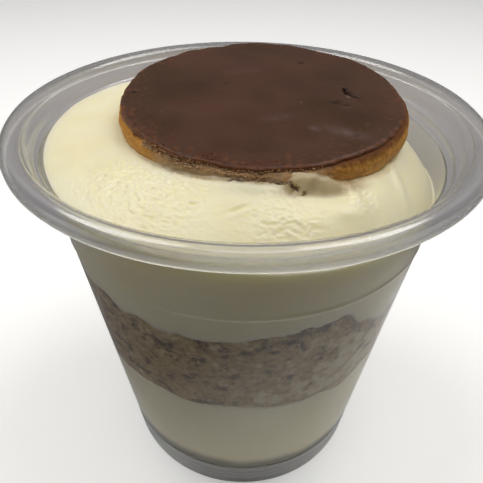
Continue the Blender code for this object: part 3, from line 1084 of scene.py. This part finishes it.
upperCream = {
    "edge": 0.0790,
    "edgeRipples": ((1, 0.00436, 172), (2, 0.0007, -58)),
    "crown": 0.0862,
    "crownRipples": ((1, 0.0007, -95), (2, 0.0004, 90)),
    "crownPower": 4.4,
    "crownSteeper": 1.8,
    # direction from the biscuit's middle in degrees, and height of the cream at the biscuit's side
    "contact": (
        (-160, 0.0846), (-140, 0.0852), (-120, 0.0861), (-106, 0.0868), (-97, 0.0869), (-88, 0.0866),
        (-74, 0.0856), (-60, 0.0846), (-44, 0.0836), (-15, 0.0833), (20, 0.0838), (60, 0.0856),
        (100, 0.0864), (150, 0.0852),
    ),
    "contactReach": (-0.0006, 0.0036),
    # low lip of cream at the biscuit's front: directions in degrees, reach out from the side, and height
    "lip": (-114, -100, -88, -81),
    "lipReach": 0.0020,
    "lipHeight": 0.0004,
    "coarseRings": 12,
    "fineStart": 0.60,
    "fineRings": 125,
    "sideRows": 22,
    "footRings": 8,
    # radius that the drum's 1 stands for at its foot
    "footRadius": 0.037,
    # cream dragged up the biscuit's side: directions in degrees and how far they wander, reach out
    # from the side, and height
    "smear": (-85, -80, -78, -60),
    "smearWander": 2.5,
    "smearWanderSize": 0.0015,
    "smearReach": 0.0026,
    "smearHeight": 0.0017,
    # painted shade, in the colour of cream mixed with biscuit, in the hollow in front of the smear:
    # directions in degrees, distances out from the side between which it fades, and those between which it is
    # a little stronger
    "hollow": (-90, -82, -62, -50),
    "hollowReach": (0.0014, 0.0029),
    "hollowSide": (0.0002, 0.0012),
    "hollowPaintedShade": 0.53,
    # crack between the smear and the cream below it, darkened with painted shade
    "crack": (
        (-0.0029, -0.0254), (-0.0012, -0.0256), (0.0006, -0.0256), (0.0028, -0.0257), (0.0052, -0.0258),
        (0.0064, -0.0262), (0.0071, -0.0266), (0.0077, -0.0270), (0.0082, -0.0272),
    ),
    "crackWidth": 0.00034,
    "crackWidthSize": 0.0008,
    "crackJagged": 0.00034,
    "crackJaggedSize": 0.0007,
    "crackDepth": 0.00022,
    # middle and half width of the area that the crack lies in, and how far back it starts
    "crackArea": (0.0035, 0.0070, -0.024),
    # biscuit worked into the cream: directions in degrees, distances out from the side, and most;
    # sizes of the noise in it at the side and in the hollow; lowest height and furthest distance
    "stained": (-150, -120, -62, -50),
    "stainReach": (0.0000, 0.0009),
    "stainMost": 0.6,
    "stainSizes": (0.0016, 0.0018),
    "stainLimits": (0.0825, 0.006),
    # the fine streaks round the axis and the low waves: height, and how fast or how large
    "streakHeight": 0.00004,
    "streakSize": (3.1, 650),
    "waveHeight": 0.00016,
    "waveSize": 0.0075,
    # x, y, radius and height of the curdled areas
    "curdled": (
        (-0.0150, -0.0270, 0.0085, 0.00036), (0.0055, -0.0328, 0.0055, 0.00032),
        (0.0190, -0.0262, 0.0030, 0.00022), (-0.0240, -0.0210, 0.0060, 0.00024),
        (0.0100, 0.0360, 0.0090, 0.00022),
    ),
    "curdSize": 0.00055,
    # the spoon's marks: x, y, heading in degrees, half length, half width, height
    "marks": (
        (0.0016, -0.0285, -6, 0.0065, 0.0009, -0.00028),
        (-0.0014, -0.0308, 22, 0.0021, 0.00032, -0.00045),
        (-0.0004, -0.0315, 22, 0.0023, 0.0004, 0.00018),
        (-0.0086, -0.0296, -15, 0.0009, 0.00035, -0.00025),
        (0.0190, -0.0270, -58, 0.0030, 0.0017, 0.0006),
        (0.0166, -0.0294, 10, 0.0018, 0.0010, 0.0003),
        (0.0142, -0.0266, 14, 0.0042, 0.0012, -0.0007),
        (0.0272, -0.0185, -74, 0.0055, 0.0011, 0.0005),
        (0.0210, -0.0265, -50, 0.0040, 0.0016, -0.00030),
        (0.0060, -0.0325, 8, 0.0050, 0.0007, 0.00020),
        (-0.0200, -0.0240, -48, 0.0060, 0.0012, 0.00018),
        (-0.0300, -0.0100, -70, 0.0080, 0.0022, -0.00022),
        (-0.0310, 0.0080, 80, 0.0080, 0.0020, 0.00018),
        (0.0330, 0.0040, 85, 0.0060, 0.0012, 0.00022),
        (-0.0090, 0.0345, 10, 0.0070, 0.0010, 0.00030),
        (0.0120, 0.0345, -18, 0.0060, 0.0009, -0.00030),
        (0.0250, 0.0265, -48, 0.0060, 0.0011, 0.00030),
    ),
}


def creamEdge(angle):
    return upperCream["edge"] + rippled(angle, upperCream["edgeRipples"])


def besideBiscuit(x, y):
    # Direction from the biscuit's middle and distance out from its side
    dx = x - topping["place"][0] - topping["biscuitOffset"]
    dy = y - topping["place"][1]
    return math.atan2(dy, dx), math.hypot(dx, dy) - topping["biscuitRadius"]


def smearShare(x, y):
    # The cream dragged up the biscuit's side, from 0 to 1
    way, beside = besideBiscuit(x, y)
    if beside > upperCream["smearReach"]:
        return 0.0
    wander = upperCream["smearWander"] * roughNoise(x, y, 0.8, upperCream["smearWanderSize"])
    across = window(math.degrees(way) + wander, *upperCream["smear"])
    return across * (1 - blendStep(beside, -0.0002, upperCream["smearReach"]))


def crackShare(x, y):
    # Nearness to the crack, from 0 to 1
    width = upperCream["crackWidth"] * (1 + 0.7 * roughNoise(x, y, 0.6, upperCream["crackWidthSize"]))
    jagged = upperCream["crackJagged"]
    size = upperCream["crackJaggedSize"]
    place = Vector((x + jagged * roughNoise(x, y, 0.1, size), y + jagged * roughNoise(x, y, 0.9, size)))
    nearest = 1.0
    for first, last in zip(upperCream["crack"], upperCream["crack"][1:]):
        start = Vector(first)
        along = Vector(last) - start
        share = min(1.0, max(0.0, (place - start).dot(along) / along.length_squared))
        nearest = min(nearest, (place - start - along * share).length)
    return math.exp(-((nearest / width) ** 2))


def creamDome(x, y):
    # The smooth dome: level under the biscuit, lower against its side, then ever steeper to the wall
    angle = math.atan2(y, x)
    edge = creamEdge(angle)
    share = min(1.0, math.hypot(x, y) / (wallRadius(edge) - layers["reach"]))
    power = upperCream["crownPower"] + upperCream["crownSteeper"] * math.cos(angle)
    crown = upperCream["crown"] + rippled(angle, upperCream["crownRipples"])
    height = edge + (crown - edge) * (1 - share**power)
    way, beside = besideBiscuit(x, y)
    near, far = upperCream["contactReach"]
    if beside < far:
        contact = min(height, aroundValue(way, upperCream["contact"]))
        height = contact + (height - contact) * blendStep(beside, near, far)
    if beside < upperCream["lipReach"]:
        across = window(math.degrees(way), *upperCream["lip"])
        height += upperCream["lipHeight"] * across * (1 - blendStep(beside, 0.0, upperCream["lipReach"]))
    return height + upperCream["smearHeight"] * smearShare(x, y)


def creamTop(x, y):
    # The dome with the spoon's marks, fine streaks round the axis, low waves, the crack and curds
    height = creamDome(x, y)
    for *mark, rise in upperCream["marks"]:
        far = stretchedFar(x, y, *mark)
        if far < 9:
            height += rise * math.exp(-far)
    angle = math.atan2(y, x)
    around, outward = upperCream["streakSize"]
    streak = Vector((math.cos(angle) * around, math.sin(angle) * around, math.hypot(x, y) * outward))
    height += upperCream["streakHeight"] * noise.noise(streak)
    height += upperCream["waveHeight"] * roughNoise(x, y, 0.3, upperCream["waveSize"])
    middle, half, start = upperCream["crackArea"]
    if y < start and abs(x - middle) < half:
        height -= upperCream["crackDepth"] * crackShare(x, y)
    for *spot, rise in upperCream["curdled"]:
        far = squaredFar(x, y, *spot)
        if far < 4:
            height += rise * math.exp(-far) * roughNoise(x, y, 0.7, upperCream["curdSize"])
    seat = biscuitUnderside(x, y)
    return height if seat is None else min(height, seat)


def creamWet(x, y):
    # How curdled and shiny the cream is, from 0 to 1
    return max(math.exp(-squaredFar(x, y, *spot[:3])) for spot in upperCream["curdled"])


def creamStainAndShade(co):
    # Biscuit worked into the cream along the front of its side, and thinly into the smear, with painted
    # shade in the hollow in front of the smear and in the crack
    way, beside = besideBiscuit(co.x, co.y)
    lowest, furthest = upperCream["stainLimits"]
    if co.z < lowest or beside > furthest:
        return 0.0
    turn = math.degrees(way)
    sideSize, hollowSize = upperCream["stainSizes"]
    uneven = 1 + 0.8 * roughNoise(co.x, co.y, 0.4, sideSize)
    rub = window(turn, *upperCream["stained"]) * uneven * (1 - blendStep(beside, *upperCream["stainReach"]))
    most = upperCream["stainMost"]
    softly = 1 + 0.25 * roughNoise(co.x, co.y, 0.4, hollowSize)
    # painted shade in the hollow in front of the smear
    hollow = upperCream["hollowPaintedShade"] * window(turn, *upperCream["hollow"]) * softly
    hollow *= 1 - blendStep(beside, *upperCream["hollowReach"])
    hollow *= 1.12 - 0.12 * blendStep(beside, *upperCream["hollowSide"])
    # the crack is darkened with painted shade
    return min(1.0, max(0.0, min(most, most * rub), hollow, 1.1 * crackShare(co.x, co.y)))


def makeUpperCream(settings):
    # Radius 1 is the wall, and the height counts from 0 at the crumbs to 1 at the cream's edge;
    # 2 marks the dome and -1 the face on the crumbs
    start = settings["fineStart"]
    coarse = settings["coarseRings"]
    fine = settings["fineRings"]
    rows = settings["sideRows"]
    rings = settings["footRings"]
    profile = [(start * ring / coarse, 2.0) for ring in range(coarse)]
    profile += [(start + (1 - start) * ring / fine, 2.0) for ring in range(fine)]
    profile += [(1.0, 1.0 - row / rows) for row in range(rows + 1)]
    profile += [(1.0 - ring / rings, -1.0) for ring in range(1, rings + 1)]
    shape = turnedShape(profile, layers["segments"])

    def settle(co):
        share = math.hypot(co.x, co.y)
        angle = math.atan2(co.y, co.x)
        edge = creamEdge(angle)
        if co.z > 1.5:
            wide = share * (wallRadius(edge) + layers["reach"])
            x = wide * math.cos(angle)
            y = wide * math.sin(angle)
            return Vector((x, y, creamTop(x, y)))
        if co.z < -0.5:
            return toWall(co, between(layers["crumbTop"], crumbRoof, co, settings["footRadius"]), share)
        wide = wallRadius(edge) + layers["reach"]
        top = creamTop(wide * math.cos(angle), wide * math.sin(angle))
        return toWall(co, crumbRoof(angle) + co.z * (top - crumbRoof(angle)), 1.0)

    movePoints(shape, settle)
    # biscuit stain, and painted shade in the hollow and the crack
    stainAndShade = shape.verts.layers.float.new("stainAndShade")
    wet = shape.verts.layers.float.new("wet")
    for vert in shape.verts:
        vert[stainAndShade] = creamStainAndShade(vert.co)
        vert[wet] = creamWet(vert.co.x, vert.co.y)
    addPiece("creamUpperFill", shape, cream, ["cream_upper"])


makeUpperCream(upperCream)


biscuitBody = {
    # shares of its radius: the plain middle of the upper and of the lower face, and where the
    # unevenness starts
    "plainTop": 0.6,
    "plainFoot": 0.35,
    "unevenFrom": 0.62,
    "uneven": 0.00022,
    "unevenSize": 0.0031,
    "grain": 0.00009,
    "grainSize": 0.00075,
    "sideStep": 0.00028,
    "softening": 0.0009,
    # directions in degrees between which cream is rubbed on the side, more of it lower down
    "film": (-140, -122, -74, -64),
    "filmMost": 0.80,
    "filmTop": 0.22,
    "filmDrop": (0.0002, 0.0020),
    "filmUneven": 0.0006,
    "filmUnevenSize": 0.0010,
    # painted light: the lower part of the side lightened all round towards the cream film's colour, for light
    # bounced up from the cream
    "paintedBounceLight": 0.15,
    "paintedBounceLightDrop": (0.0012, 0.0032),
    # depth of the dark upper edge, how much deeper it is at the right, and where that is
    "bakedDepth": (0.0000, 0.0006),
    "bakedRight": (0.0002, 0.0008),
    "rightSide": (-75, -45, 10, 40),
    "bakedUneven": 0.0004,
    "bakedUnevenSize": 0.0009,
    # painted shade: directions in degrees between which the whole side is darker, for its shaded front
    "frontPaintedShade": (-138, -118, -72, -62),
    "frontPaintedShadeMost": 0.60,
}


def bakedShare(turn, drop, x, y):
    # The dark upper edge of the biscuit, and painted shade on its front, from 0 to 1
    right = window(turn, *biscuitBody["rightSide"])
    start, end = biscuitBody["bakedDepth"]
    startRight, endRight = biscuitBody["bakedRight"]
    rough = roughNoise(x, y, drop, biscuitBody["bakedUnevenSize"])
    lower = drop + biscuitBody["bakedUneven"] * rough
    edge = 1 - blendStep(lower, start + startRight * right, end + endRight * right)
    # painted shade on the front of the side
    front = biscuitBody["frontPaintedShadeMost"] * window(turn, *biscuitBody["frontPaintedShade"])
    return min(1.0, max(edge, front * (1 + 0.7 * rough)))


def makeBiscuit(settings):
    top = -topping["chocolateThickness"]
    depth = topping["biscuitThickness"]
    wide = topping["biscuitRadius"]
    side = [(wide - inward, top - share * depth) for inward, share in biscuitSide]
    side = divided(softCorners(side, settings["softening"]), settings["sideStep"])
    profile = [(0.0, top), (wide * settings["plainTop"], top)] + side
    profile += [(wide * settings["plainFoot"], top - depth), (0.0, top - depth)]
    shape = turnedShape(profile, topping["segments"])
    smeared = shape.verts.layers.float.new("smeared")
    darkness = shape.verts.layers.float.new("baked")
    for vert in shape.verts:
        turn = math.degrees(math.atan2(vert.co.y, vert.co.x))
        drop = top - vert.co.z
        rubbed = window(turn, *settings["film"])
        lower = drop + settings["filmUneven"] * roughNoise(*vert.co, settings["filmUnevenSize"])
        thick = settings["filmTop"] + (1 - settings["filmTop"]) * blendStep(lower, *settings["filmDrop"])
        # painted bounce light on the lower part of the side
        low = settings["paintedBounceLight"] * blendStep(lower, *settings["paintedBounceLightDrop"])
        vert[smeared] = max(settings["filmMost"] * rubbed * thick, low)
        vert[darkness] = bakedShare(turn, drop, vert.co.x, vert.co.y)

    def settle(co):
        angle = math.atan2(co.y, co.x)
        scale = 1 + rippled(angle, topping["biscuitRipples"])
        radius = math.hypot(co.x, co.y)
        if radius > wide * settings["unevenFrom"]:
            lump = settings["uneven"] * roughNoise(*co, settings["unevenSize"])
            lump += settings["grain"] * roughNoise(*co, settings["grainSize"])
            scale *= 1 + lump / radius
        return toppingTurn @ Vector((co.x * scale + topping["biscuitOffset"], co.y * scale, co.z))

    movePoints(shape, settle)
    addPiece("biscuitBody", shape, baked, ["biscuit"])


makeBiscuit(biscuitBody)


chocolateTop = {
    "rings": 90,
    "sideStep": 0.0003,
    "softening": 0.00025,
    "edgeNoise": 0.00022,
    "edgeNoiseSize": 0.0016,
    # shares of the thickness between which the side turns from chocolate to crumbs
    "crumbedSide": (-0.02, 0.30),
    "crumbedUneven": 0.25,
    "crumbedSize": 0.0009,
    "swell": 0.00014,
    "swellSize": 0.009,
    "skin": 0.00002,
    "skinSize": 0.0006,
    # x, y, radius and depth of the pits, in the chocolate's own plane
    "pits": (
        (0.0172, 0.0026, 0.0005, 0.00070), (0.0173, 0.0014, 0.0007, 0.00085),
        (0.0176, 0.0002, 0.0008, 0.00085), (0.0184, -0.0010, 0.0007, 0.00075),
        (0.0192, -0.0018, 0.0005, 0.00050), (0.0142, -0.0038, 0.0013, 0.00024),
        (0.0091, 0.0155, 0.0008, 0.00026), (-0.0258, -0.0002, 0.0007, 0.00028),
        (-0.0073, 0.0038, 0.0006, 0.00012), (0.0164, -0.0051, 0.0009, 0.00020),
        (0.0165, -0.0169, 0.0008, 0.00018),
    ),
    "pitSize": 0.0006,
    # depth from which a pit's painted shade is full
    "darkPit": 0.0006,
    # x, y, radius and height of the grainy areas
    "grainy": (
        (-0.0140, -0.0225, 0.0075, 0.00012), (0.0060, -0.0265, 0.0060, 0.00009),
        (-0.0230, -0.0130, 0.0050, 0.00008),
    ),
    "grainySize": 0.0007,
    # direction in degrees, half width in degrees and outward size of the bumps on the edge
    "edgeBumps": (
        (91, 6, 0.0005), (110, 5, -0.0010), (121, 4, -0.0006), (134, 3, -0.0004), (62, 20, -0.0007),
        (-22, 12, 0.0005), (-160, 6, 0.0003), (-103, 4, 0.0003), (-84, 5, -0.0003), (-60, 6, -0.0003),
    ),
    # distances in from the edge over which the bumps rise
    "edgeReach": (0.0035, 0.0008),
    # x, y, heading in degrees, half length, half width and strength of the pale spots
    "bloom": (
        (0.0150, -0.0160, -25, 0.0036, 0.0013, 0.26), (0.0094, -0.0149, -30, 0.0012, 0.0008, 0.22),
        (0.0032, -0.0108, 20, 0.0034, 0.0013, 0.12), (0.0164, -0.0061, 10, 0.0009, 0.0004, 0.26),
        (0.0172, -0.0017, 0, 0.0003, 0.0003, 0.80), (0.0076, -0.0046, 0, 0.0003, 0.0003, 0.30),
        (-0.0193, -0.0088, 0, 0.0002, 0.0002, 0.60), (-0.0040, 0.0100, 12, 0.0040, 0.0012, 0.08),
    ),
    "bloomSize": 0.0012,
}


def chocolateBloom(co):
    # Pale spots on the chocolate, broken up by noise
    most = 0.0
    for *spot, strength in chocolateTop["bloom"]:
        far = stretchedFar(co.x, co.y, *spot)
        if far < 4:
            broken = 1 + 0.7 * roughNoise(co.x, co.y, 0.3, chocolateTop["bloomSize"])
            most = max(most, strength * math.exp(-far) * broken)
    return most


def pitShare(x, y, *spot):
    # Depth of a pit at this place, from 0 to 1, with a ragged edge
    far = squaredFar(x, y, *spot)
    if far > 6:
        return 0.0
    return math.exp(-far * far) * (1 + 0.6 * roughNoise(x, y, 0.5, chocolateTop["pitSize"]))


def edgeShift(co):
    # How far the chocolate's uneven edge stands out at a place in its own plane
    shift = chocolateTop["edgeNoise"] * roughNoise(*co, chocolateTop["edgeNoiseSize"])
    angle = math.atan2(co.y, co.x)
    for place, width, size in chocolateTop["edgeBumps"]:
        turn = math.remainder(angle - math.radians(place), math.tau) / math.radians(width)
        if abs(turn) < 3:
            shift += size * math.exp(-turn * turn)
    return shift


def makeChocolate(settings):
    wide = topping["chocolateRadius"]
    depth = topping["chocolateThickness"]
    crown = topping["chocolateCrown"]
    rings = settings["rings"]
    flat = wide - topping["chocolateRound"]
    profile = [(flat * ring / rings, crown * (1 - (ring / rings) ** 2)) for ring in range(rings)]
    edge = [
        (flat, 0.0), (wide - 0.0002, -0.10 * depth), (wide, -0.40 * depth), (wide, -0.85 * depth),
        (wide, -1.1 * depth), (wide - 0.0030, -1.1 * depth),
    ]
    profile += divided(softCorners(edge, settings["softening"]), settings["sideStep"])
    profile += [(wide * 0.5, -depth), (0.0, -depth)]
    shape = turnedShape(profile, topping["segments"])
    bloom = shape.verts.layers.float.new("bloom")
    pit = shape.verts.layers.float.new("pit")
    crumbed = shape.verts.layers.float.new("edge")
    for vert in shape.verts:
        rough = settings["crumbedUneven"] * roughNoise(vert.co.x, vert.co.y, 0.6, settings["crumbedSize"])
        vert[crumbed] = blendStep(rough - vert.co.z / depth, *settings["crumbedSide"])
        if vert.co.z > -0.5 * depth:
            vert[bloom] = chocolateBloom(vert.co)
            for *spot, deep in settings["pits"]:
                share = pitShare(vert.co.x, vert.co.y, *spot)
                vert[pit] = max(vert[pit], min(1.0, deep / settings["darkPit"]) * share)

    def settle(co):
        angle = math.atan2(co.y, co.x)
        radius = math.hypot(co.x, co.y)
        scale = 1 + rippled(angle, topping["chocolateRipples"])
        point = co.copy()
        if co.z > -0.3 * depth:
            point.z -= settings["swell"] * (0.6 + 0.4 * roughNoise(co.x, co.y, 0.1, settings["swellSize"]))
            point.z += settings["skin"] * roughNoise(co.x, co.y, 0.2, settings["skinSize"])
            for *spot, deep in settings["pits"]:
                point.z = max(point.z - deep * pitShare(co.x, co.y, *spot), -0.92 * depth)
            for *spot, rise in settings["grainy"]:
                far = squaredFar(co.x, co.y, *spot)
                if far < 4:
                    point.z += rise * math.exp(-far) * roughNoise(co.x, co.y, 0.9, settings["grainySize"])
        start, end = settings["edgeReach"]
        nearEdge = blendStep(radius, wide - start, wide - end)
        if nearEdge > 0 and co.z > -1.01 * depth:
            scale *= 1 + nearEdge * edgeShift(co) / radius
        return toppingTurn @ Vector((point.x * scale, point.y * scale, point.z))

    movePoints(shape, settle)
    addPiece("chocolateTop", shape, chocolate, ["chocolate_top"])


makeChocolate(chocolateTop)


# Biscuit crumbs along the chocolate's edge and down its side, mostly at the front left
edgeCrumbs = {
    # directions in degrees, distances in from the edge, or down the side where below 0, and count
    "groups": (
        (-150, -98, 0.0001, 0.0009, 130), (-140, -112, -0.0017, -0.0006, 420),
        (-118, -88, -0.0016, -0.0008, 330), (-120, -78, 0.0006, 0.0026, 26),
        (-90, -70, -0.0011, -0.0007, 60),
    ),
    "size": (0.00006, 0.00019),
    # share of its size that a crumb stands out, and how far the uneven face lies below the plain one
    "proud": 0.2,
    "sink": 0.00008,
    # the biscuit's side stands out past the chocolate's by this much, this far down
    "biscuitOut": 0.0007,
    "biscuitDown": 0.0018,
    # how dark they are down the side, how much paler lower down, and how far down in full
    "baked": (0.55, 1.0),
    "paler": 0.36,
    "palerDown": 0.0017,
    "seed": 7,
}


def chocolateSkin(travel):
    # Distance from the middle and height of the chocolate's face in its own plane, at a distance
    # in from its edge, or down its side and on to the biscuit's where the distance is below 0
    wide = topping["chocolateRadius"]
    if travel < 0:
        out = blendStep(-travel, topping["chocolateThickness"], edgeCrumbs["biscuitDown"])
        return wide + edgeCrumbs["biscuitOut"] * out, travel
    crown = topping["chocolateCrown"] * (1 - (1 - travel / wide) ** 2)
    rounding = 0.5 * max(0.0, topping["chocolateRound"] - travel)
    return wide - travel, crown - rounding - edgeCrumbs["sink"]


def makeEdgeCrumbs(settings):
    pick = random.Random(settings["seed"])
    shape, corners = grainCloud(sum(group[4] for group in settings["groups"]), "smeared", "baked")
    tone = shape.verts.layers.float["smeared"]
    darkness = shape.verts.layers.float["baked"]
    laid = 0
    for start, end, outer, inner, count in settings["groups"]:
        for _ in range(count):
            angle = math.radians(pick.uniform(start, end))
            travel = pick.uniform(outer, inner)
            radius, height = chocolateSkin(travel)
            size = pick.uniform(*settings["size"])
            shift = edgeShift(Vector((radius * math.cos(angle), radius * math.sin(angle), min(height, 0.0))))
            proud = settings["proud"] * size
            out = (radius + shift + proud) * (1 + rippled(angle, topping["chocolateRipples"]))
            local = Vector((out * math.cos(angle), out * math.sin(angle), height + proud))
            pale = settings["paler"] * blendStep(-travel, 0.0, settings["palerDown"]) * pick.uniform(0.5, 1.5)
            dark = pick.uniform(*settings["baked"]) if travel < 0 else 1.0
            lump = shape.verts[laid * corners:(laid + 1) * corners]
            layGrain(lump, tone, toppingTurn @ local, size, pale, pick)
            for vert in lump:
                vert[darkness] = dark
            laid += 1
    addPiece("edgeCrumbs", shape, baked, [])


makeEdgeCrumbs(edgeCrumbs)


# Crumbs that fell on the cream in front of the biscuit
looseCrumbs = {
    "count": 100,
    "spread": 0.00022,
    "size": (0.00006, 0.00015),
    # x, y and size of the larger ones past the crack's end
    "single": ((0.0094, -0.0273, 0.00036), (0.0091, -0.0276, 0.00020)),
    "tone": (0.0, 0.25),
    "proud": 0.2,
    "seed": 4,
}


def makeLooseCrumbs(settings):
    pick = random.Random(settings["seed"])
    line = upperCream["crack"]
    lumps = list(settings["single"])
    for _ in range(settings["count"]):
        way = pick.uniform(0, len(line) - 1.001)
        first = Vector(line[int(way)])
        last = Vector(line[int(way) + 1])
        x, y = first.lerp(last, way % 1)
        shift = settings["spread"]
        lumps.append((x + pick.gauss(0, shift), y + pick.gauss(0, shift), pick.uniform(*settings["size"])))
    shape, corners = grainCloud(len(lumps), "crumbTone")
    tone = shape.verts.layers.float["crumbTone"]
    for index, (x, y, size) in enumerate(lumps):
        place = Vector((x, y, creamTop(x, y) + settings["proud"] * size))
        lump = shape.verts[index * corners:(index + 1) * corners]
        layGrain(lump, tone, place, size, pick.uniform(*settings["tone"]), pick)
    addPiece("looseCrumbs", shape, crumb, [])


makeLooseCrumbs(looseCrumbs)
